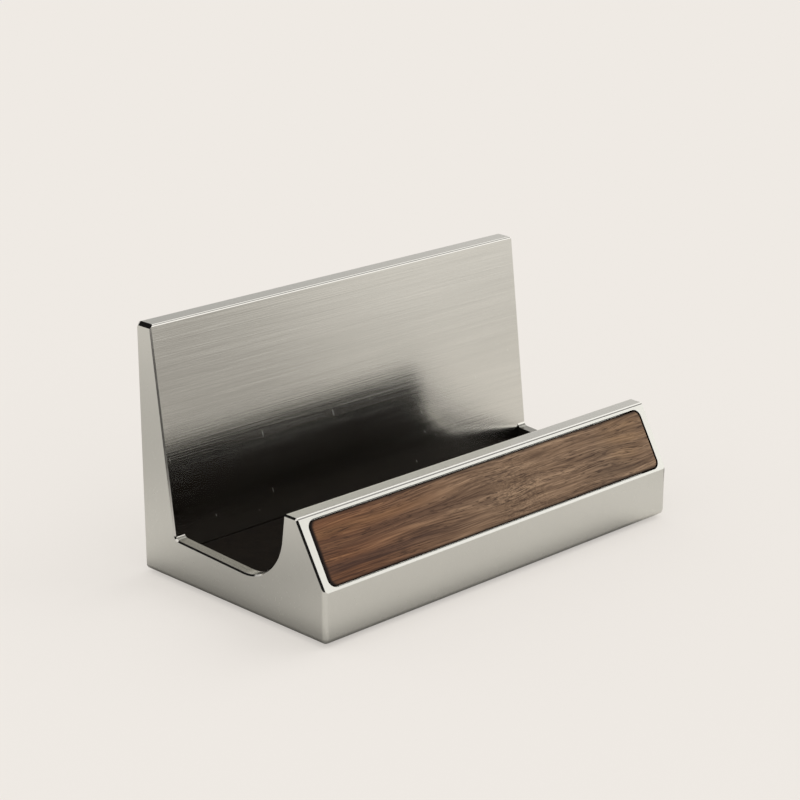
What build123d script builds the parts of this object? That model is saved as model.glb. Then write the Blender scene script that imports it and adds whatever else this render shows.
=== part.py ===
"""Desk stand for business cards, in millimetres and degrees.

+Z is up and the front, with its walnut strip, faces -Y. The origin lies on the desk, under the
middle of the stand. Heights of the metal body are measured from its own underside, which the
feet lift off the desk.
"""

import os
from math import cos, hypot, radians, sin, tan

from build123d import *

os.makedirs("parts", exist_ok=True)

# Metal body: a long block with a U-shaped section that is open at both ends
body_length = 100.0
body_depth = 52.4
body_height = 51.6
end_draft = 2.1  # angle by which each end draws in towards the front
corner_radius = 1.0  # upright front corners
bottom_radius = 1.2  # outline of the underside
lip_chamfer = 0.36  # rim of the slanted face and the lip top at each end
wall_chamfer = 0.75  # rim of the wall top and the back at each end
inner_chamfer = 0.3  # rim of the opening in each end
lip_edge_radius = 0.8  # long edge between the slanted face and the lip top
back_edge_radius = 1.2  # long edge between the wall top and the back
well_edge_radius = 0.5  # long edges of the lip top and the wall top over the well

# Back wall, upright outside and leaning inside
wall_top_thickness = 4.6
wall_lean = 7.1

# Front lip, with an upright foot and a slanted face above it
lip_height = 23.2
lip_top_width = 3.4
lip_lean = 7.7  # inner face
slope_start_height = 10.45
slope_run = 7.4

# Card well, sunk between a low ledge at each end
ledge_height = 8.25
ledge_width = 2.4
ledge_wall_radius = 1.0
ledge_lip_radius = 11.0
floor_height = 5.0

# Adhesive film behind the strip and the pads, and above the feet
film_thickness = 0.15

# Walnut strip in its pocket in the slanted face
pocket_side_margin = 1.72
pocket_bottom_margin = 0.55
pocket_top_margin = 0.9
pocket_corner_radius = 1.8
inlay_thickness = 2.0
inlay_gap = 0.2
inlay_sink = 0.05  # how far the wood lies below the metal
inlay_edge_radius = 0.4

# Black pad on the floor of the well
liner_thickness = 1.35
liner_gap = 0.12
liner_corner_radius = 1.0
liner_edge_radius = 0.2

# Black pad on the inner face of the lip, above the one on the floor
lip_pad_thickness = 1.0
lip_pad_rise = 0.3  # gap above the pad on the floor
lip_pad_drop = 0.55  # below the lip top
lip_pad_edge_radius = 0.3

# Rubber feet in round recesses
foot_diameter = 10.0
foot_thickness = 1.6
foot_proud = 0.6  # how far the feet lift the body off the desk
foot_gap = 0.2
foot_edge_radius = 0.4
foot_end_inset = 10.0  # from the end of the body to the middle of the foot
foot_side_inset = 9.5  # from the front or back of the body to the middle of the foot

# Where the faces of the body lie
half_length = body_length / 2
front = -body_depth / 2
back = body_depth / 2
underside = foot_proud
section_plane = Plane(origin=(0, 0, underside), x_dir=(0, 1, 0), z_dir=(1, 0, 0))


def end_face(depth):
    """X of the right end at a depth along Y."""
    return half_length - (back - depth) * tan(radians(end_draft))


def wall_face(height):
    """Y of the back wall's inner face at a height above the underside."""
    return back - wall_top_thickness - (body_height - height) * tan(radians(wall_lean))


def lip_face(height):
    """Y of the lip's inner face at a height above the underside."""
    return front + slope_run + lip_top_width + (lip_height - height) * tan(radians(lip_lean))


# The slanted face, as a plane with its origin at the middle of the face's lower edge
slope_rise = lip_height - slope_start_height
slope_length = hypot(slope_run, slope_rise)
slope_plane = Plane(
    origin=(0, front, underside + slope_start_height),
    x_dir=(1, 0, 0),
    z_dir=(0, -slope_rise, slope_run),
)
pocket_length = 2 * (end_face(front) - pocket_side_margin)
pocket_width = slope_length - pocket_bottom_margin - pocket_top_margin
pocket_middle = pocket_bottom_margin + pocket_width / 2
pocket_depth = film_thickness + inlay_thickness + inlay_sink

# The feet, by name, at their places under the body
foot_x = half_length - foot_end_inset
foot_y = body_depth / 2 - foot_side_inset
foot_places = {
    "front_left": (-foot_x, -foot_y),
    "front_right": (foot_x, -foot_y),
    "rear_left": (-foot_x, foot_y),
    "rear_right": (foot_x, foot_y),
}
recess_depth = foot_thickness + film_thickness - foot_proud


def edge_at(shape, x, y, height):
    """The edge that passes closest to a point of the body."""
    return shape.edges().sort_by_distance((x, y, underside + height))[0]


def end_edges(shape, y, height):
    """The edge at each end that passes closest to a depth and a height of the body."""
    return [edge_at(shape, side * end_face(y), y, height) for side in (-1, 1)]


def plan_outline(inset, front_depth, back_depth):
    """An outline in plan between two depths, with its ends set in from those of the body."""
    Polygon(
        (inset - end_face(front_depth), front_depth),
        (end_face(front_depth) - inset, front_depth),
        (end_face(back_depth) - inset, back_depth),
        (inset - end_face(back_depth), back_depth),
        align=None,
    )


# The space of the card well, which is taken out of the body
with BuildPart() as well:
    with BuildSketch(section_plane):
        with BuildLine():
            Polyline(
                (lip_face(floor_height), floor_height),
                (wall_face(floor_height), floor_height),
                (wall_face(lip_height), lip_height),
                (lip_face(lip_height), lip_height),
                close=True,
            )
        make_face()
    extrude(amount=half_length, both=True)
    with BuildSketch(Plane.XY.offset(underside)):
        plan_outline(ledge_width, front, back)
    extrude(amount=body_height, mode=Mode.INTERSECT)

with BuildPart() as body:
    with BuildSketch(section_plane) as section:
        with BuildLine():
            Polyline(
                (front, 0),
                (front, slope_start_height),
                (front + slope_run, lip_height),
                (lip_face(lip_height), lip_height),
                (lip_face(ledge_height), ledge_height),
                (wall_face(ledge_height), ledge_height),
                (wall_face(body_height), body_height),
                (back, body_height),
                (back, 0),
                close=True,
            )
        make_face()
        lip_foot = section.vertices().sort_by_distance((lip_face(ledge_height), ledge_height))[0]
        fillet(lip_foot, ledge_lip_radius)
        wall_foot = section.vertices().sort_by_distance((wall_face(ledge_height), ledge_height))[0]
        fillet(wall_foot, ledge_wall_radius)
        lip_edge = section.vertices().sort_by_distance((front + slope_run, lip_height))[0]
        fillet(lip_edge, lip_edge_radius)
        back_edge = section.vertices().sort_by_distance((back, body_height))[0]
        fillet(back_edge, back_edge_radius)
    extrude(amount=half_length, both=True)
    with BuildSketch(Plane.XY.offset(underside)):
        plan_outline(0, front, back)
    extrude(amount=body_height, mode=Mode.INTERSECT)

    # Each rim of an end is one smooth run of edges, so one edge of it stands for all
    ledge_middle = (lip_face(ledge_height) + wall_face(ledge_height)) / 2
    slope_middle = front + slope_run / 2
    slope_middle_height = (slope_start_height + lip_height) / 2
    wall_top_middle = back - wall_top_thickness / 2
    chamfer(end_edges(body, ledge_middle, ledge_height), inner_chamfer)
    chamfer(end_edges(body, slope_middle, slope_middle_height), lip_chamfer)
    chamfer(end_edges(body, wall_top_middle, body_height), wall_chamfer)

    # The long edges of the lip top and the wall top over the well
    well_edges = ((lip_face(lip_height), lip_height), (wall_face(body_height), body_height))
    fillet([edge_at(body, 0, y, height) for y, height in well_edges], well_edge_radius)

    # The front corners, then the outline of the underside, which runs round them
    fillet(end_edges(body, front, slope_start_height / 2), corner_radius)
    fillet(body.faces().sort_by(Axis.Z)[0].edges(), bottom_radius)

    add(well.part, mode=Mode.SUBTRACT)

    # The pocket for the walnut strip
    with BuildSketch(slope_plane):
        with Locations((0, pocket_middle)):
            RectangleRounded(pocket_length, pocket_width, pocket_corner_radius)
    extrude(amount=-pocket_depth, mode=Mode.SUBTRACT)

    # The recesses for the feet
    with BuildSketch(Plane.XY.offset(underside)):
        with Locations(*foot_places.values()):
            Circle(foot_diameter / 2 + foot_gap)
    extrude(amount=recess_depth, mode=Mode.SUBTRACT)

body.part.label = "body"
export_step(body.part, "parts/body.step")


def strip_outline():
    """The outline of the walnut strip, which its adhesive film shares."""
    with Locations((0, pocket_middle)):
        RectangleRounded(
            pocket_length - 2 * inlay_gap,
            pocket_width - 2 * inlay_gap,
            pocket_corner_radius - inlay_gap,
        )


pocket_floor = slope_plane.offset(-pocket_depth)

with BuildPart() as inlay_adhesive:
    with BuildSketch(pocket_floor):
        strip_outline()
    extrude(amount=film_thickness)

inlay_adhesive.part.label = "inlay_adhesive"
export_step(inlay_adhesive.part, "parts/inlay_adhesive.step")

with BuildPart() as front_inlay:
    with BuildSketch(pocket_floor.offset(film_thickness)):
        strip_outline()
    extrude(amount=inlay_thickness)
    strip_axis = Axis(slope_plane.origin, slope_plane.z_dir)
    fillet(front_inlay.faces().sort_by(strip_axis)[-1].edges(), inlay_edge_radius)

front_inlay.part.label = "front_inlay"
export_step(front_inlay.part, "parts/front_inlay.step")


def liner_outline():
    """The outline of the pad in the well, which its adhesive film shares."""
    front_depth = lip_face(floor_height) + liner_gap
    back_depth = wall_face(floor_height) - liner_gap
    plan_outline(ledge_width + liner_gap, front_depth, back_depth)


well_floor = Plane.XY.offset(underside + floor_height)

with BuildPart() as liner_adhesive:
    with BuildSketch(well_floor):
        liner_outline()
    extrude(amount=film_thickness)
    fillet(liner_adhesive.edges().filter_by(Axis.Z), liner_corner_radius)

liner_adhesive.part.label = "liner_adhesive"
export_step(liner_adhesive.part, "parts/liner_adhesive.step")

with BuildPart() as well_liner:
    with BuildSketch(well_floor.offset(film_thickness)):
        liner_outline()
    extrude(amount=liner_thickness)
    fillet(well_liner.edges().filter_by(Axis.Z), liner_corner_radius)
    fillet(well_liner.faces().sort_by(Axis.Z)[-1].edges(), liner_edge_radius)

well_liner.part.label = "well_liner"
export_step(well_liner.part, "parts/well_liner.step")

# The inner face of the lip, as a plane with its origin at the floor of the well
lip_plane = Plane(
    origin=(0, lip_face(floor_height), underside + floor_height),
    x_dir=(-1, 0, 0),
    z_dir=(0, cos(radians(lip_lean)), sin(radians(lip_lean))),
)
lip_pad_bottom = (film_thickness + liner_thickness + lip_pad_rise) / cos(radians(lip_lean))
lip_pad_top = (lip_height - floor_height - lip_pad_drop) / cos(radians(lip_lean))
lip_pad_length = 2 * (end_face(lip_face(lip_height)) - ledge_width - liner_gap)


def lip_pad_outline():
    """The outline of the pad on the lip, which its adhesive film shares."""
    with Locations((0, (lip_pad_bottom + lip_pad_top) / 2)):
        RectangleRounded(lip_pad_length, lip_pad_top - lip_pad_bottom, liner_corner_radius)


with BuildPart() as lip_pad_adhesive:
    with BuildSketch(lip_plane):
        lip_pad_outline()
    extrude(amount=film_thickness)

lip_pad_adhesive.part.label = "lip_pad_adhesive"
export_step(lip_pad_adhesive.part, "parts/lip_pad_adhesive.step")

with BuildPart() as lip_pad:
    with BuildSketch(lip_plane.offset(film_thickness)):
        lip_pad_outline()
    extrude(amount=lip_pad_thickness)
    lip_axis = Axis(lip_plane.origin, lip_plane.z_dir)
    fillet(lip_pad.faces().sort_by(lip_axis)[-1].edges(), lip_pad_edge_radius)

lip_pad.part.label = "lip_pad"
export_step(lip_pad.part, "parts/lip_pad.step")

# Each foot is a low rubber disc with a rounded lower edge, held up in its recess by an adhesive disc
for corner, place in foot_places.items():
    with BuildPart() as foot:
        with BuildSketch():
            with Locations(place):
                Circle(foot_diameter / 2)
        extrude(amount=foot_thickness)
        fillet(foot.faces().sort_by(Axis.Z)[0].edges(), foot_edge_radius)

    foot.part.label = f"foot_{corner}"
    export_step(foot.part, f"parts/foot_{corner}.step")

    with BuildPart() as foot_adhesive:
        with BuildSketch(Plane.XY.offset(foot_thickness)):
            with Locations(place):
                Circle(foot_diameter / 2)
        extrude(amount=film_thickness)

    foot_adhesive.part.label = f"foot_adhesive_{corner}"
    export_step(foot_adhesive.part, f"parts/foot_adhesive_{corner}.step")
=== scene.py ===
from math import cos, pi, radians, sin

import bmesh
import bpy
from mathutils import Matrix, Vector, noise


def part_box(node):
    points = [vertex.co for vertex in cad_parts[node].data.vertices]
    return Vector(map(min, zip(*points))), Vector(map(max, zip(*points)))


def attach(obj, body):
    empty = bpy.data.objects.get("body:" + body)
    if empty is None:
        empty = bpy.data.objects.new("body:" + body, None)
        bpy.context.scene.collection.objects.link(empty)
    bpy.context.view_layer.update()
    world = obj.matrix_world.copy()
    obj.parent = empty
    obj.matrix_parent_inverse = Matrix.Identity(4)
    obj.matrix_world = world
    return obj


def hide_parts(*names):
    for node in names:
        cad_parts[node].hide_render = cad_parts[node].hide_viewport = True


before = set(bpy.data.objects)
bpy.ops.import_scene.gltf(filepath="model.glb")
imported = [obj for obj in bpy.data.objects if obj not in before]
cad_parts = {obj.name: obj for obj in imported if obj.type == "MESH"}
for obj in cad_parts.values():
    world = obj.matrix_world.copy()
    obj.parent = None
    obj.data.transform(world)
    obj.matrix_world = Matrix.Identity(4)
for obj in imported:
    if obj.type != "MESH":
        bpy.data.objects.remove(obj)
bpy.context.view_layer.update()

# Metal body
# One heavy block of stainless steel, milled to a U section that is open at both ends. Ends, front
# and back are ground to an even satin, the inside is brushed along its length, and the rims of the
# ends and the long top edges are cut back and polished.
MM = 0.001
WELD_DISTANCE = 0.001 * MM
FLAT_ANGLE = radians(0.2)
EDGE_ANGLE = radians(25)


def linear(hex_colour):
    """A linear RGBA colour from an sRGB hex value."""
    shares = [int(hex_colour[i:i + 2], 16) / 255 for i in (1, 3, 5)]
    return (*(s / 12.92 if s <= 0.04045 else ((s + 0.055) / 1.055) ** 2.4 for s in shares), 1.0)


def add(tree, kind, inputs=None, ramp=None, **settings):
    """Adds a node to a tree. An input takes a value, or a socket that is linked to it."""
    made = tree.nodes.new(kind)
    for name, value in settings.items():
        setattr(made, name, value)
    for name, value in (inputs or {}).items():
        if isinstance(value, bpy.types.NodeSocket):
            tree.links.new(value, made.inputs[name])
        else:
            made.inputs[name].default_value = value
    if ramp:
        while len(made.color_ramp.elements) < len(ramp):
            made.color_ramp.elements.new(0.5)
        for stop, (place, hex_colour) in zip(made.color_ramp.elements, ramp):
            stop.position = place
            stop.color = linear(hex_colour)
    return made


def new_material(name):
    """A material with a bare surface shader: the material, its node tree and the shader."""
    material = bpy.data.materials.new(name)
    material.use_nodes = True
    tree = material.node_tree
    tree.nodes.clear()
    shader = add(tree, "ShaderNodeBsdfPrincipled")
    add(tree, "ShaderNodeOutputMaterial", {"Surface": shader.outputs[0]})
    return material, tree, shader


def connect(tree, shader, **sockets):
    """Links sockets to the shader's inputs, named with _ for a space."""
    for name, socket in sockets.items():
        tree.links.new(socket, shader.inputs[name.replace("_", " ")])


def own_copy(node, name):
    """A copy of a CAD node's mesh, welded into whole faces, as an object of its own."""
    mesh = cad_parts[node].data.copy()
    mesh.name = name
    mesh.materials.clear()
    if "custom_normal" in mesh.attributes:
        mesh.attributes.remove(mesh.attributes["custom_normal"])
    work = bmesh.new()
    work.from_mesh(mesh)
    bmesh.ops.remove_doubles(work, verts=work.verts, dist=WELD_DISTANCE)
    bmesh.ops.dissolve_limit(work, angle_limit=FLAT_ANGLE, verts=work.verts, edges=work.edges)
    work.to_mesh(mesh)
    work.free()
    piece = bpy.data.objects.new(name, mesh)
    bpy.context.scene.collection.objects.link(piece)
    return piece


# Satin-ground stainless steel: an even, fine sheen that softens reflections alike all ways
GRIT_SIZE = 0.35 * MM
CLOUD_SIZE = 18 * MM
satin_steel, tree, shader = new_material("stainless_steel_ground_satin")
place = add(tree, "ShaderNodeTexCoord").outputs["Object"]
grit = add(tree, "ShaderNodeTexNoise", {"Vector": place, "Scale": 1 / GRIT_SIZE, "Detail": 3.0})
cloud = add(tree, "ShaderNodeTexNoise", {"Vector": place, "Scale": 1 / CLOUD_SIZE, "Detail": 2.0})
gloss = add(tree, "ShaderNodeMapRange", {
    "Value": grit.outputs["Fac"], "To Min": 0.25, "To Max": 0.33})
tint = add(tree, "ShaderNodeMix", {
    0: cloud.outputs["Fac"], 6: linear("#d2d2cc"), 7: linear("#d6d6d0")}, data_type="RGBA")
relief = add(tree, "ShaderNodeBump", {
    "Height": grit.outputs["Fac"], "Strength": 0.1, "Distance": 0.004 * MM})
connect(tree, shader, Base_Color=tint.outputs[2], Roughness=gloss.outputs[0],
        Normal=relief.outputs[0])
shader.inputs["Metallic"].default_value = 1.0

# Stainless steel brushed along its length: fine grooves a few centimetres long that smear what is
# mirrored across the strokes, and a few short upright scratches low down, where the cards rub. The
# wall dulls a little to the right, and low down there its strokes are shallow and it mirrors more
# sharply. The grooves are drawn 0.12 mm wide, about twice the real ones, so that the finest lines
# still show. Lengths and widths of strokes are in millimetres.
GROOVE_LENGTH = 30
GROOVE_WIDTH = 0.12
GROOVE_DEPTH = 0.009 * MM
STREAK_WIDTH = 0.7
SCRATCH_LENGTH = 2.2
SCRATCH_WIDTH = 0.2
SCRATCH_REACH = 8
SCRATCH_LEAN = radians(14)
RUB_TOP = 34 * MM
RUB_FULL = 28 * MM
DULL_FULL = 24 * MM
SHALLOW_LEFT = 12 * MM
SHALLOW_RIGHT = 26 * MM
SHALLOW_TOP = 19 * MM
SHALLOW_FULL = 12 * MM
brushed_steel, tree, shader = new_material("stainless_steel_brushed")
place = add(tree, "ShaderNodeTexCoord").outputs["Object"]
groove_run = add(tree, "ShaderNodeMapping", {
    "Vector": place, "Scale": (1 / GROOVE_LENGTH, 1 / GROOVE_WIDTH, 1 / GROOVE_WIDTH)})
streak_run = add(tree, "ShaderNodeMapping", {
    "Vector": place, "Scale": (1 / GROOVE_LENGTH, 1 / STREAK_WIDTH, 1 / STREAK_WIDTH)})
groove = add(tree, "ShaderNodeTexNoise", {
    "Vector": groove_run.outputs[0], "Scale": 1 / MM, "Detail": 1.0})
streak = add(tree, "ShaderNodeTexNoise", {
    "Vector": streak_run.outputs[0], "Scale": 1 / MM, "Detail": 2.0})
tilted = add(tree, "ShaderNodeVectorRotate", {"Vector": place, "Angle": SCRATCH_LEAN},
             rotation_type="Y_AXIS")
scratch_run = add(tree, "ShaderNodeMapping", {
    "Vector": tilted.outputs[0],
    "Scale": (1 / SCRATCH_WIDTH, 1 / SCRATCH_REACH, 1 / SCRATCH_LENGTH)})
scratch = add(tree, "ShaderNodeTexNoise", {
    "Vector": scratch_run.outputs[0], "Scale": 1 / MM, "Detail": 0.0})
scratched = add(tree, "ShaderNodeMapRange", {
    "Value": scratch.outputs["Fac"], "From Min": 0.8, "From Max": 0.88})
where = add(tree, "ShaderNodeSeparateXYZ", {0: place}).outputs
dulled = add(tree, "ShaderNodeMapRange", {
    "Value": where["X"], "From Max": DULL_FULL, "To Max": 0.03})
rubbed = add(tree, "ShaderNodeMapRange", {
    "Value": where["Z"], "From Min": RUB_TOP, "From Max": RUB_FULL, "To Min": 0.0, "To Max": 0.16})
worn = add(tree, "ShaderNodeMapRange", {
    "Value": streak.outputs["Fac"], "From Min": 0.3, "From Max": 0.7,
    "To Min": 0.127, "To Max": 0.153})
right_part = add(tree, "ShaderNodeMapRange", {
    "Value": where["X"], "From Min": SHALLOW_LEFT, "From Max": SHALLOW_RIGHT})
low_part = add(tree, "ShaderNodeMapRange", {
    "Value": where["Z"], "From Min": SHALLOW_TOP, "From Max": SHALLOW_FULL})
shallow = add(tree, "ShaderNodeMath", {0: right_part.outputs[0], 1: low_part.outputs[0]},
              operation="MULTIPLY")
cut = add(tree, "ShaderNodeMapRange", {
    "Value": shallow.outputs[0], "To Min": 1.0, "To Max": 0.45})
smoothed = add(tree, "ShaderNodeMath", {0: shallow.outputs[0], 1: -0.05, 2: dulled.outputs[0]},
               operation="MULTIPLY_ADD")
ground = add(tree, "ShaderNodeMath", {0: worn.outputs[0], 1: smoothed.outputs[0]}, operation="ADD")
gloss = add(tree, "ShaderNodeMath", {
    0: scratched.outputs[0], 1: rubbed.outputs[0], 2: ground.outputs[0]}, operation="MULTIPLY_ADD")
strokes = add(tree, "ShaderNodeMix", {0: 0.6, 2: streak.outputs["Fac"], 3: groove.outputs["Fac"]})
tint = add(tree, "ShaderNodeMix", {
    0: strokes.outputs[0], 6: linear("#c8c7c0"), 7: linear("#e0ded7")}, data_type="RGBA")
relief = add(tree, "ShaderNodeBump", {
    "Height": groove.outputs["Fac"], "Strength": cut.outputs[0], "Distance": GROOVE_DEPTH})
facing = add(tree, "ShaderNodeNewGeometry").outputs["Normal"]
across = add(tree, "ShaderNodeVectorMath", {0: facing, 1: (1, 0, 0)}, operation="CROSS_PRODUCT")
connect(tree, shader, Base_Color=tint.outputs[2], Roughness=gloss.outputs[0],
        Normal=relief.outputs[0], Tangent=across.outputs[0])
shader.inputs["Metallic"].default_value = 1.0
shader.inputs["Anisotropic"].default_value = 0.6

# Milled steel of the end ledges: left as the cutter made it, so it is duller than the ground faces,
# with fine tool lines from front to back. Its grey is darker than the other steel as painted shade.
TOOL_LINE_LENGTH = 12
TOOL_LINE_WIDTH = 0.15
milled_steel, tree, shader = new_material("stainless_steel_milled")
place = add(tree, "ShaderNodeTexCoord").outputs["Object"]
line_run = add(tree, "ShaderNodeMapping", {
    "Vector": place, "Scale": (1 / TOOL_LINE_WIDTH, 1 / TOOL_LINE_LENGTH, 1 / TOOL_LINE_WIDTH)})
line = add(tree, "ShaderNodeTexNoise", {
    "Vector": line_run.outputs[0], "Scale": 1 / MM, "Detail": 2.0})
# The darker grey tint is painted shade
tint = add(tree, "ShaderNodeMix", {
    0: line.outputs["Fac"], 6: linear("#8f8e88"), 7: linear("#b9b8b1")}, data_type="RGBA")
gloss = add(tree, "ShaderNodeMapRange", {
    "Value": line.outputs["Fac"], "To Min": 0.2, "To Max": 0.3})
relief = add(tree, "ShaderNodeBump", {
    "Height": line.outputs["Fac"], "Strength": 0.3, "Distance": 0.005 * MM})
connect(tree, shader, Base_Color=tint.outputs[2], Roughness=gloss.outputs[0],
        Normal=relief.outputs[0])
shader.inputs["Metallic"].default_value = 1.0

# Polished steel edges: near mirrors, so they turn black or white with what they face
HAZE_SIZE = 1.5 * MM
polished_steel, tree, shader = new_material("stainless_steel_polished_edge")
place = add(tree, "ShaderNodeTexCoord").outputs["Object"]
haze = add(tree, "ShaderNodeTexNoise", {"Vector": place, "Scale": 1 / HAZE_SIZE, "Detail": 3.0})
gloss = add(tree, "ShaderNodeMapRange", {
    "Value": haze.outputs["Fac"], "To Min": 0.06, "To Max": 0.12})
connect(tree, shader, Roughness=gloss.outputs[0])
shader.inputs["Base Color"].default_value = linear("#dcdbd6")
shader.inputs["Metallic"].default_value = 1.0

# Painted shade in the gap round the walnut strip: the walls of the pocket are made matt and near
# black
GAP_MOTTLE_SIZE = 0.8 * MM
pocket_gap_shade, tree, shader = new_material("pocket_gap_painted_shade")
place = add(tree, "ShaderNodeTexCoord").outputs["Object"]
lump = add(tree, "ShaderNodeTexNoise", {"Vector": place, "Scale": 1 / GAP_MOTTLE_SIZE, "Detail": 2.0})
tint = add(tree, "ShaderNodeMix", {
    0: lump.outputs["Fac"], 6: linear("#0d0a08"), 7: linear("#1a1512")}, data_type="RGBA")
gloss = add(tree, "ShaderNodeMapRange", {
    "Value": lump.outputs["Fac"], "To Min": 0.6, "To Max": 0.9})
connect(tree, shader, Base_Color=tint.outputs[2], Roughness=gloss.outputs[0])
shader.inputs["Specular IOR Level"].default_value = 0.1

# Matt black on the inner sides of the lip and the end ledges, beside the pads: dull, and dark
# enough that the brushed wall mirrors a black well
SPECKLE_SIZE = 0.3 * MM
black_inner_side, tree, shader = new_material("matt_black_inner_side")
place = add(tree, "ShaderNodeTexCoord").outputs["Object"]
speckle = add(tree, "ShaderNodeTexNoise", {"Vector": place, "Scale": 1 / SPECKLE_SIZE, "Detail": 3.0})
tint = add(tree, "ShaderNodeMix", {
    0: speckle.outputs["Fac"], 6: linear("#0b0906"), 7: linear("#17140f")}, data_type="RGBA")
gloss = add(tree, "ShaderNodeMapRange", {
    "Value": speckle.outputs["Fac"], "To Min": 0.5, "To Max": 0.7})
connect(tree, shader, Base_Color=tint.outputs[2], Roughness=gloss.outputs[0])
shader.inputs["Specular IOR Level"].default_value = 0.2

SLOPE_NORMAL = Vector((0, -0.8649, 0.5020))
SLOPE_REACH = SLOPE_NORMAL.dot(Vector((0, -26.2, 11.05))) * MM
POCKET_TOP = 0.1 * MM
POCKET_DEPTH = 4 * MM
POCKET_BACK = -14 * MM
POCKET_END = 47 * MM
POCKET_LOW = 10 * MM
LIP_BACK = -10 * MM
LIP_LOW = 8 * MM
TOP_EDGE_LOW = 20 * MM
WELL_FRONT = -16.5 * MM
WELL_BACK = 21.8 * MM
WELL_FLOOR = 5 * MM
UPRIGHT_FRONT = -24 * MM
UPRIGHT_TOP = 11 * MM
SLOPE_RIM_LOW = 11.6 * MM
LEDGE_START = 45 * MM
LEDGE_FRONT = -12 * MM
LEDGE_BACK = 15 * MM
LEDGE_LOW = 7.5 * MM
LEDGE_HIGH = 10.2 * MM
LEDGE_RISE = 0.65 * MM
LEDGE_DIP = -0.3
SATIN, BRUSHED, MILLED, POLISHED, GAP_SHADE, BLACK_INSIDE = range(6)


def finish_of(face):
    """Which of the finishes a face of the body has, from where it lies and which way it faces."""
    across, deep, up = face.normal
    middle = face.center
    lengthwise = abs(across) < 0.02
    like_slope = face.normal.dot(SLOPE_NORMAL)
    sunk = SLOPE_REACH - SLOPE_NORMAL.dot(middle)
    in_pocket = (POCKET_TOP < sunk < POCKET_DEPTH and middle.y < POCKET_BACK
                 and abs(middle.x) < POCKET_END and middle.z > POCKET_LOW)
    # The walls of the pocket take the painted shade of the gap
    if in_pocket and (not lengthwise or abs(like_slope) < 0.1):
        return GAP_SHADE
    in_well = WELL_FRONT < middle.y < WELL_BACK and middle.z > WELL_FLOOR
    lip_inside = deep > 0.7 and up < 0.5 and middle.y < LIP_BACK and middle.z > LIP_LOW
    ledge_inside = in_well and abs(across) > 0.9 and across * middle.x < 0
    if lip_inside or ledge_inside:
        return BLACK_INSIDE
    on_upright = middle.y < UPRIGHT_FRONT and middle.z < UPRIGHT_TOP
    end_rim = 0.5 < abs(across) < 0.9 and up > -0.02 and not on_upright
    top_edge = lengthwise and 0.15 < up < 0.997 and like_slope < 0.9995
    if end_rim or (top_edge and middle.z > TOP_EDGE_LOW):
        return POLISHED
    if in_well and lengthwise:
        return MILLED if up > 0.5 and abs(middle.x) > LEDGE_START else BRUSHED
    return SATIN


body = own_copy("body", "steel_body")
for material in (satin_steel, brushed_steel, milled_steel, polished_steel, pocket_gap_shade, black_inner_side):
    body.data.materials.append(material)
for face in body.data.polygons:
    face.material_index = finish_of(face)
    face.use_smooth = True

# The end ledges rise a little to the back
for point in body.data.vertices:
    x, y, z = point.co
    if abs(x) > LEDGE_START and LEDGE_FRONT < y < WELL_BACK and LEDGE_LOW < z < LEDGE_HIGH:
        point.co.z += LEDGE_RISE * max(LEDGE_DIP, min(1.0, y / LEDGE_BACK))
body.data.set_sharp_from_angle(angle=EDGE_ANGLE)

# The polished rim of the slope stops at a crisp line above the round front upright
rim = {key for face in body.data.polygons if face.material_index == POLISHED
       for key in face.edge_keys}
for edge in body.data.edges:
    ends = [body.data.vertices[end].co for end in edge.vertices]
    if edge.key in rim and all(end.y < UPRIGHT_FRONT and end.z < SLOPE_RIM_LOW for end in ends):
        edge.use_edge_sharp = True
flat_faces = body.modifiers.new("flat_faces", "WEIGHTED_NORMAL")
flat_faces.weight = 100
flat_faces.keep_sharp = True
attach(body, "root")
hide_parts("body")

# Adhesive films
# Thin double-sided tape, die-cut to the outline of the piece that it holds: behind the walnut strip
# and both felt pads, and above each rubber foot.
TAPE_CLOUD_SIZE = 2.5 * MM
film, tree, shader = new_material("acrylic_tape_die_cut")
place = add(tree, "ShaderNodeTexCoord").outputs["Object"]
cloud = add(tree, "ShaderNodeTexNoise", {
    "Vector": place, "Scale": 1 / TAPE_CLOUD_SIZE, "Detail": 3.0})
tint = add(tree, "ShaderNodeMix", {
    0: cloud.outputs["Fac"], 6: linear("#b9b29e"), 7: linear("#cdc7b5")}, data_type="RGBA")
gloss = add(tree, "ShaderNodeMapRange", {
    "Value": cloud.outputs["Fac"], "To Min": 0.35, "To Max": 0.55})
connect(tree, shader, Base_Color=tint.outputs[2], Roughness=gloss.outputs[0])


def dress(node, material):
    """Gives a CAD node that stays in view its material."""
    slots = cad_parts[node].data.materials
    slots.clear()
    slots.append(material)


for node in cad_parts:
    if "adhesive" in node:
        dress(node, film)

# Walnut strip
# A strip of oiled walnut with its edges rounded over, glued into the pocket in the slanted face
# with its grain along the stand. Its CAD shape is right, so only the material is added. Places and
# sizes on the strip are in millimetres.
SLOPE_ANGLE = radians(59.869)
STRIP_MIDDLE = (0, -3.601, -28.207)
STRIP_CORE = (44.56, 4.846, 9)
# How far the painted shade of the rim is moved, in millimetres, so that it is wider at the left
RIM_SHADE_SHIFT = 0.4

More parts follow.
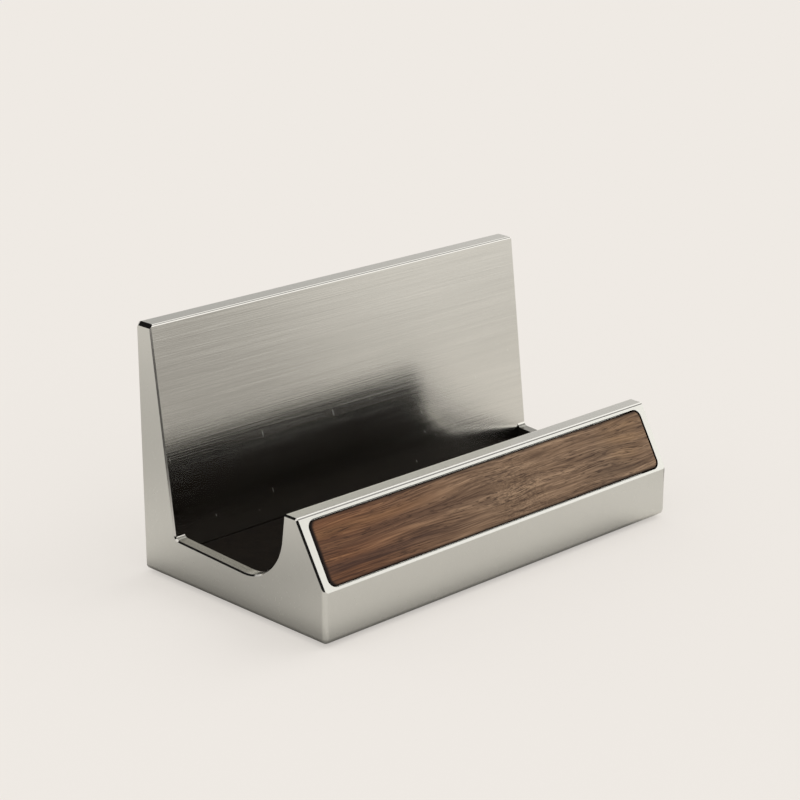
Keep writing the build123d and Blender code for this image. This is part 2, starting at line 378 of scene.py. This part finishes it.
# Oiled walnut: soft brown bands along the grain, redder at the left end and greyer and more wavy at
# the right, dark and golden streaks, fine open pores, a curly patch, and a low sheen
walnut, tree, shader = new_material("walnut_oiled")
place = add(tree, "ShaderNodeTexCoord").outputs["Object"]
board = add(tree, "ShaderNodeMapping", {
    "Vector": place, "Rotation": (-SLOPE_ANGLE, 0, 0), "Scale": (1 / MM,) * 3,
    "Location": STRIP_MIDDLE}).outputs[0]
flat = add(tree, "ShaderNodeSeparateXYZ", {0: board}).outputs
sway_run = add(tree, "ShaderNodeMapping", {"Vector": board, "Scale": (1 / 30, 1 / 8, 1 / 8)})
sway = add(tree, "ShaderNodeTexNoise", {
    "Vector": sway_run.outputs[0], "Scale": 1.0, "Detail": 1.0})
swing = add(tree, "ShaderNodeMapRange", {
    "Value": flat["X"], "From Min": -25, "From Max": 20, "To Min": 2.4, "To Max": 3.8})
centred = add(tree, "ShaderNodeMath", {0: sway.outputs["Fac"], 1: 0.5}, operation="SUBTRACT")
across = add(tree, "ShaderNodeMath", {0: centred.outputs[0], 1: swing.outputs[0], 2: flat["Y"]},
             operation="MULTIPLY_ADD").outputs[0]
grain = add(tree, "ShaderNodeCombineXYZ", {
    "X": flat["X"], "Y": across, "Z": flat["Z"]}).outputs[0]


def grain_noise(along, over, detail):
    """Noise stretched along the grain, by its length along and its width across."""
    run = add(tree, "ShaderNodeMapping", {
        "Vector": grain, "Scale": (1 / along, 1 / over, 1 / over)})
    made = add(tree, "ShaderNodeTexNoise", {
        "Vector": run.outputs[0], "Scale": 1.0, "Detail": detail})
    return made.outputs["Fac"]


def off_line(middle):
    """How far a place lies from a line along the grain."""
    offset = add(tree, "ShaderNodeMath", {0: across, 1: middle}, operation="SUBTRACT")
    return add(tree, "ShaderNodeMath", {0: offset.outputs[0]}, operation="ABSOLUTE").outputs[0]


def off_point(along, over):
    """How far a place lies from a point of the strip."""
    made = add(tree, "ShaderNodeVectorMath", {0: board, 1: (along, over, 0)}, operation="DISTANCE")
    return made.outputs["Value"]


bands = grain_noise(55, 2.0, 2.0)
fibres = grain_noise(9, 0.28, 2.0)
clusters = grain_noise(22, 2.2, 1.0)
hairlines = grain_noise(8, 0.14, 1.0)
pores = grain_noise(2.0, 0.15, 0.0)
dashes = grain_noise(2.6, 0.26, 1.0)
curl_run = add(tree, "ShaderNodeMapping", {"Vector": board, "Scale": (1 / 0.7, 1 / 0.35, 1)})
curl = add(tree, "ShaderNodeTexNoise", {
    "Vector": curl_run.outputs[0], "Scale": 1.0, "Detail": 2.0, "Distortion": 1.0}).outputs["Fac"]
figure = add(tree, "ShaderNodeMix", {0: 0.5, 2: bands, 3: fibres}).outputs[0]
red_end = add(tree, "ShaderNodeValToRGB", {"Fac": figure}, ramp=(
    (0.38, "#4a3023"), (0.46, "#684630"), (0.54, "#7a543b"), (0.63, "#906746"))).outputs[0]
grey_end = add(tree, "ShaderNodeValToRGB", {"Fac": figure}, ramp=(
    (0.38, "#604b3b"), (0.47, "#7f6650"), (0.53, "#8c725b"), (0.62, "#a3876c"))).outputs[0]
greyed = add(tree, "ShaderNodeMapRange", {"Value": flat["X"], "From Min": -44, "From Max": 4},
             interpolation_type="SMOOTHSTEP")
colour = add(tree, "ShaderNodeMix", {0: greyed.outputs[0], 6: red_end, 7: grey_end},
             data_type="RGBA").outputs[2]

# Each mark: what draws it, from where to where it grows, what places it, likewise, its strength and
# its colour
for mark, faint, full, lie, edge, core, strength, hex_colour in (
    (off_line(0.8), 2.4, 0.3, flat["X"], 14, -20, 0.48, "#453128"),
    (off_line(-3.6), 1.5, 0.2, flat["X"], 2, -30, 0.55, "#42302a"),
    (off_line(3.6), 1.6, 0, flat["X"], -4, -34, 0.35, "#9b714c"),
    (curl, 0.5, 0.64, off_point(6, -3), 12, 3, 0.5, "#4f3d2f"),
    (curl, 0.5, 0.36, off_point(6, -3), 12, 3, 0.25, "#a58a6c"),
    (dashes, 0.54, 0.7, off_point(4, 2.6), 12, 4, 0.65, "#46352a"),
    (dashes, 0.58, 0.72, flat["X"], -12, 10, 0.5, "#4a392e"),
    (bands, 0.7, 0.4, off_point(33, -4), 11, 2, 0.4, "#57483b"),
    (bands, 0.3, 0.6, off_point(39, 3.2), 9, 2, 0.35, "#a4815a"),
    (hairlines, 0.52, 0.66, clusters, 0.3, 0.58, 0.55, "#3f2d24"),
    (pores, 0.6, 0.71, clusters, 0.34, 0.56, 0.65, "#33231b"),
):
    drawn = add(tree, "ShaderNodeMapRange", {
        "Value": mark, "From Min": faint, "From Max": full, "To Max": strength},
        interpolation_type="SMOOTHSTEP")
    placed = add(tree, "ShaderNodeMapRange", {"Value": lie, "From Min": edge, "From Max": core},
                 interpolation_type="SMOOTHSTEP")
    share = add(tree, "ShaderNodeMath", {0: drawn.outputs[0], 1: placed.outputs[0]},
                operation="MULTIPLY")
    colour = add(tree, "ShaderNodeMix", {0: share.outputs[0], 6: colour, 7: linear(hex_colour)},
                 data_type="RGBA").outputs[2]

# Painted shade darkens the rounded rim of the strip, a little wider at the left
pressed = add(tree, "ShaderNodeVectorMath", {0: board, 1: (RIM_SHADE_SHIFT, 0, 0)}, operation="SUBTRACT")
side = add(tree, "ShaderNodeVectorMath", {0: pressed.outputs[0]}, operation="ABSOLUTE")
inset = add(tree, "ShaderNodeVectorMath", {0: side.outputs[0], 1: STRIP_CORE}, operation="SUBTRACT")
corner = add(tree, "ShaderNodeVectorMath", {0: inset.outputs[0], 1: (0, 0, 0)}, operation="MAXIMUM")
to_edge = add(tree, "ShaderNodeVectorMath", {0: corner.outputs[0]}, operation="LENGTH")
rim_shade = add(tree, "ShaderNodeMapRange", {
    "Value": to_edge.outputs["Value"], "From Min": 0.85, "From Max": 1.6},
    interpolation_type="SMOOTHSTEP")
colour = add(tree, "ShaderNodeMix", {0: rim_shade.outputs[0], 6: colour, 7: linear("#120906")},
             data_type="RGBA").outputs[2]
height = add(tree, "ShaderNodeMath", {0: fibres, 1: pores}, operation="SUBTRACT")
relief = add(tree, "ShaderNodeBump", {
    "Height": height.outputs[0], "Strength": 0.35, "Distance": 0.02 * MM})
gloss = add(tree, "ShaderNodeMapRange", {
    "Value": figure, "From Min": 0.3, "From Max": 0.7, "To Min": 0.56, "To Max": 0.46})
connect(tree, shader, Base_Color=colour, Roughness=gloss.outputs[0], Normal=relief.outputs[0])
shader.inputs["Specular IOR Level"].default_value = 0.15
dress("front_inlay", walnut)

# Felt pads
# Two pads of pressed black wool felt: one on the floor of the card well, one on the inner face of
# the lip. Each is cut from sheet, a little soft at its cut edge, and laid on its adhesive film.
VOXEL = 0.35 * MM
NAP_DEPTH = 0.05 * MM
NAP_SPACING = 0.9 * MM
FLOOR_PAD_SPREAD = 0.1 * MM
LIP_PAD_TRIM = 0.4 * MM

# Pressed wool felt: matt warm black with a faint bloom, fibres that break up its surface
FUZZ_SIZE = 0.25 * MM
CLUMP_SIZE = 2.2 * MM
felt, tree, shader = new_material("wool_felt_pressed_black")
place = add(tree, "ShaderNodeTexCoord").outputs["Object"]
fuzz = add(tree, "ShaderNodeTexNoise", {
    "Vector": place, "Scale": 1 / FUZZ_SIZE, "Detail": 4.0, "Distortion": 1.2})
clump = add(tree, "ShaderNodeTexNoise", {"Vector": place, "Scale": 1 / CLUMP_SIZE, "Detail": 2.0})
wool = add(tree, "ShaderNodeMath", {0: fuzz.outputs["Fac"], 1: clump.outputs["Fac"]},
           operation="MULTIPLY")
tint = add(tree, "ShaderNodeMapRange", {
    "Value": wool.outputs[0], "From Min": 0.12, "From Max": 0.4})
black = add(tree, "ShaderNodeMix", {
    0: tint.outputs[0], 6: linear("#0f0a06"), 7: linear("#18120b")}, data_type="RGBA")
relief = add(tree, "ShaderNodeBump", {
    "Height": fuzz.outputs["Fac"], "Strength": 0.6, "Distance": 0.08 * MM})
connect(tree, shader, Base_Color=black.outputs[2], Normal=relief.outputs[0])
shader.inputs["Roughness"].default_value = 0.95
shader.inputs["Specular IOR Level"].default_value = 0.1
shader.inputs["Sheen Weight"].default_value = 0.015
shader.inputs["Sheen Roughness"].default_value = 0.5


def felt_pad(node, name, spread, trim):
    """The pad of a CAD solid with soft edges and an uneven nap, pressed out or cut down."""
    blank = own_copy(node, name)
    (_, front, low), (_, back, high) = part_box(node)
    soften = blank.modifiers.new("soften", "REMESH")
    soften.mode = "VOXEL"
    soften.voxel_size = VOXEL
    bpy.context.view_layer.update()
    softened = blank.evaluated_get(bpy.context.evaluated_depsgraph_get())
    mesh = bpy.data.meshes.new_from_object(softened)
    blank.modifiers.clear()
    blank.data = mesh
    mesh.name = name
    mesh.materials.clear()
    mesh.materials.append(felt)
    nap = [noise.fractal(point.co / NAP_SPACING, 1.0, 2.0, 3) for point in mesh.vertices]
    sink = [-NAP_DEPTH * (0.5 + 0.5 * min(1.0, max(-1.0, lift))) for lift in nap]
    normals = [point.normal.copy() for point in mesh.vertices]
    for point, normal, depth in zip(mesh.vertices, normals, sink):
        point.co += normal * depth
        point.co.y += spread * (2 * point.co.y - front - back) / (back - front)
        point.co.z -= trim * (point.co.z - low) / (high - low)
    for face in mesh.polygons:
        face.use_smooth = True
    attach(blank, "root")
    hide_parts(node)
    return blank


floor_pad = felt_pad("well_liner", "felt_floor_pad", FLOOR_PAD_SPREAD, 0)
lip_pad = felt_pad("lip_pad", "felt_lip_pad", 0, LIP_PAD_TRIM)

# Rubber feet
# Four low discs of black rubber, moulded, each stuck up into its round recess under the body. Their
# CAD shape is right, so only the material is added: matt, finely pitted, with a trace of dust.
SKIN_SIZE = 0.3 * MM
DUST_SIZE = 3 * MM
rubber, tree, shader = new_material("rubber_moulded_matt")
place = add(tree, "ShaderNodeTexCoord").outputs["Object"]
skin = add(tree, "ShaderNodeTexNoise", {"Vector": place, "Scale": 1 / SKIN_SIZE, "Detail": 3.0})
dust = add(tree, "ShaderNodeTexNoise", {"Vector": place, "Scale": 1 / DUST_SIZE, "Detail": 2.0})
tint = add(tree, "ShaderNodeMix", {
    0: dust.outputs["Fac"], 6: linear("#151516"), 7: linear("#232324")}, data_type="RGBA")
gloss = add(tree, "ShaderNodeMapRange", {
    "Value": skin.outputs["Fac"], "To Min": 0.6, "To Max": 0.8})
relief = add(tree, "ShaderNodeBump", {
    "Height": skin.outputs["Fac"], "Strength": 0.3, "Distance": 0.02 * MM})
connect(tree, shader, Base_Color=tint.outputs[2], Roughness=gloss.outputs[0],
        Normal=relief.outputs[0])
for end in ("front_left", "front_right", "rear_left", "rear_right"):
    dress(f"foot_{end}", rubber)

# Studio floor
# A plain pale sweep of paper, wide enough that no edge shows from any side. It is not part of the
# object. Metal alone sees painted light on it: painted shadow close round the stand, painted shade
# on the dark side of the studio and a painted pool of light to the front right.
FLOOR_REACH = 40.0
BACKGROUND = "#efeae4"
SHADOW_SHARE = 0.45
floor_work = bmesh.new()
bmesh.ops.create_grid(floor_work, x_segments=1, y_segments=1, size=FLOOR_REACH)
floor_mesh = bpy.data.meshes.new("studio_floor")
floor_work.to_mesh(floor_mesh)
floor_work.free()
floor = bpy.data.objects.new("studio_floor", floor_mesh)
bpy.context.scene.collection.objects.link(floor)
paper, tree, shader = new_material("paper_background")
place = add(tree, "ShaderNodeTexCoord").outputs["Object"]


def floor_spot(centre, turn, reach, inner, outer):
    """How far a place on the floor lies inside a turned oval, from 0 at outer to 1 at inner."""
    shift = add(tree, "ShaderNodeVectorMath", {0: place, 1: centre}, operation="SUBTRACT")
    oval = add(tree, "ShaderNodeVectorRotate", {
        "Vector": shift.outputs[0], "Angle": radians(-turn)}, rotation_type="Z_AXIS")
    size = add(tree, "ShaderNodeVectorMath", {
        0: oval.outputs[0], 1: (1 / reach[0], 1 / reach[1], 1)}, operation="MULTIPLY")
    away = add(tree, "ShaderNodeVectorMath", {0: size.outputs[0]}, operation="LENGTH")
    made = add(tree, "ShaderNodeMapRange", {
        "Value": away.outputs["Value"], "From Min": outer, "From Max": inner},
        interpolation_type="SMOOTHSTEP")
    return made.outputs[0]


def footprint(centre, half_size, reach):
    """How close a place on the floor lies to an oblong, from 0 at reach to 1 inside it."""
    shift = add(tree, "ShaderNodeVectorMath", {0: place, 1: centre}, operation="SUBTRACT")
    apart = add(tree, "ShaderNodeVectorMath", {0: shift.outputs[0]}, operation="ABSOLUTE")
    past = add(tree, "ShaderNodeVectorMath", {0: apart.outputs[0], 1: half_size},
               operation="SUBTRACT")
    outside = add(tree, "ShaderNodeVectorMath", {0: past.outputs[0], 1: (0, 0, 0)},
                  operation="MAXIMUM")
    away = add(tree, "ShaderNodeVectorMath", {0: outside.outputs[0]}, operation="LENGTH")
    made = add(tree, "ShaderNodeMapRange", {
        "Value": away.outputs["Value"], "From Min": reach, "From Max": 0},
        interpolation_type="SMOOTHSTEP")
    return made.outputs[0]


# A painted pool of light on the floor to the front right, seen only in the metal
painted_light_pool = floor_spot((0.42, -0.36, 0), 0, (1, 1), 0.06, 0.2)
bright = add(tree, "ShaderNodeMath", {0: painted_light_pool, 1: 0.6}, operation="MULTIPLY")
tone = add(tree, "ShaderNodeMix", {
    0: bright.outputs[0], 6: linear(BACKGROUND), 7: linear("#ffffff")}, data_type="RGBA").outputs[2]

# Each patch of painted shadow and painted shade that metal sees, in metres and degrees, and how
# deep it is
for share, depth in (
    (footprint((-0.006, 0, 0), (0.042, 0.0252, 1), 0.0115), 0.65),
    (floor_spot((-0.068, 0.009, 0), 0, (1, 1), 0.006, 0.034), 0.38),
    (floor_spot((-0.115, 0.095, 0), 0, (1, 1), 0.025, 0.085), 0.31),
    (floor_spot((0.343, -0.566, 0), -54, (6, 1), 0.04, 0.13), 0.48),
    (floor_spot((0.24, -0.24, 0), 0, (1, 1), 0.06, 0.14), 0.25),
    (floor_spot((0.128, -0.204, 0), 0, (1, 1), 0.03, 0.08), 0.22),
    (floor_spot((0.085, -0.145, 0), 0, (1, 1), 0.02, 0.06), 0.32),
    (floor_spot((-0.30, -0.17, 0), 37, (14, 1), 0.012, 0.022), 0.9),
    (floor_spot((0.088, -0.050, 0), -70, (7, 1), 0.0045, 0.0105), 0.95),
    (floor_spot((0.112, -0.0895, 0), -47, (6, 1), 0.003, 0.0105), 0.8),
):
    shade_share = add(tree, "ShaderNodeMath", {0: share, 1: depth}, operation="MULTIPLY")
    tone = add(tree, "ShaderNodeMix", {0: shade_share.outputs[0], 6: tone, 7: linear("#0a0a0a")},
               data_type="RGBA").outputs[2]
rays = add(tree, "ShaderNodeLightPath").outputs
dimmed = [SHADOW_SHARE * channel for channel in linear(BACKGROUND)[:3]] + [1.0]
lit = add(tree, "ShaderNodeMix", {0: rays["Is Camera Ray"], 6: linear(BACKGROUND), 7: dimmed},
          data_type="RGBA")
seen = add(tree, "ShaderNodeMix", {0: rays["Is Glossy Ray"], 6: lit.outputs[2], 7: tone},
           data_type="RGBA")
kept = add(tree, "ShaderNodeMath", {0: rays["Is Camera Ray"], 1: 1 - SHADOW_SHARE},
           operation="MULTIPLY")
connect(tree, shader, Base_Color=seen.outputs[2], Emission_Strength=kept.outputs[0])
shader.inputs["Emission Color"].default_value = linear(BACKGROUND)
shader.inputs["Roughness"].default_value = 1.0
shader.inputs["Specular IOR Level"].default_value = 0.0
floor.data.materials.append(paper)

# Studio light
# An even dome and one broad soft lamp from the right light all that is matt. Metal sees the studio:
# pale walls, a tall softbox to the right of the camera, another above it, and a dark side at the
# left.
DOME = 0.87
STUDIO_WALL = (0.92, 0.885, 0.855, 1.0)
KEY_AZIMUTH = -10
KEY_ELEVATION = 45
KEY_SHARE = 0.13
world = bpy.data.worlds.new("studio")
bpy.context.scene.world = world
world.use_nodes = True
world.cycles.sampling_method = "NONE"
tree = world.node_tree
tree.nodes.clear()
heading = add(tree, "ShaderNodeTexCoord").outputs["Generated"]


def toward(azimuth, elevation):
    """The direction at an azimuth counted from +X and an elevation, in degrees."""
    level = cos(radians(elevation))
    return (level * cos(radians(azimuth)), level * sin(radians(azimuth)), sin(radians(elevation)))


def round_patch(centre, inner, outer):
    """How far a direction lies within a round patch, from 0 at outer to 1 at inner degrees."""
    near = add(tree, "ShaderNodeVectorMath", {0: heading, 1: centre}, operation="DOT_PRODUCT")
    made = add(tree, "ShaderNodeMapRange", {
        "Value": near.outputs["Value"], "From Min": cos(radians(outer)),
        "From Max": cos(radians(inner))}, interpolation_type="SMOOTHSTEP")
    return made.outputs[0]


# Each patch of the studio, and how bright it is
view = STUDIO_WALL
for share, radiance in (
    (round_patch(toward(75, 42), 26, 42), 0.45),
    (round_patch(toward(114, 37), 16, 20), 0.012),
    (round_patch(toward(-147, 18), 16, 20), 0.012),
    (round_patch(toward(-42, 12), 17, 20), 1.4),
    (round_patch(toward(5, 48), 23, 28), 1.3),
    (round_patch(toward(-23, 46.5), 11, 14), 0.45),
    (round_patch(toward(-29, 35), 3, 5), 0.1),
    (round_patch(toward(-39, 34.5), 3, 5), 0.1),
):
    patch_colour = (radiance, radiance * 0.985, radiance * 0.96, 1.0)
    view = add(tree, "ShaderNodeMix", {0: share, 6: view, 7: patch_colour},
               data_type="RGBA").outputs[2]
rays = add(tree, "ShaderNodeLightPath").outputs
plain = add(tree, "ShaderNodeMix", {
    0: rays["Is Camera Ray"], 6: (DOME, DOME, DOME, 1.0), 7: linear(BACKGROUND)}, data_type="RGBA")
sight = add(tree, "ShaderNodeMix", {0: rays["Is Glossy Ray"], 6: plain.outputs[2], 7: view},
            data_type="RGBA")
glow = add(tree, "ShaderNodeBackground", {"Color": sight.outputs[2], "Strength": 1.0})
add(tree, "ShaderNodeOutputWorld", {"Surface": glow.outputs[0]})

key_data = bpy.data.lights.new("key_softbox", "SUN")
key_data.energy = KEY_SHARE * pi / sin(radians(KEY_ELEVATION))
key_data.angle = radians(50)
key = bpy.data.objects.new("key_softbox", key_data)
key_aim = -Vector(toward(KEY_AZIMUTH, KEY_ELEVATION))
key.rotation_euler = key_aim.to_track_quat("-Z", "Y").to_euler()
key.visible_glossy = False
bpy.context.scene.collection.objects.link(key)

# Camera
# It stands where the photograph was taken from, to the left in front of the stand and above it,
# turned and tilted to match, with a long lens.
CAMERA_PLACE = (-0.28439, -0.29668, 0.17034)
CAMERA_YAW = radians(43.328)
CAMERA_PITCH = radians(18.744)
CAMERA_LENS = 96.61
SENSOR_WIDTH = 36.0
camera_data = bpy.data.cameras.new("camera")
camera_data.lens = CAMERA_LENS
camera_data.sensor_width = SENSOR_WIDTH
camera = bpy.data.objects.new("camera", camera_data)
camera.location = CAMERA_PLACE
camera.rotation_euler = (pi / 2 - CAMERA_PITCH, 0, -CAMERA_YAW)
bpy.context.scene.collection.objects.link(camera)
bpy.context.scene.camera = camera
bpy.context.scene.view_settings.view_transform = "Standard"
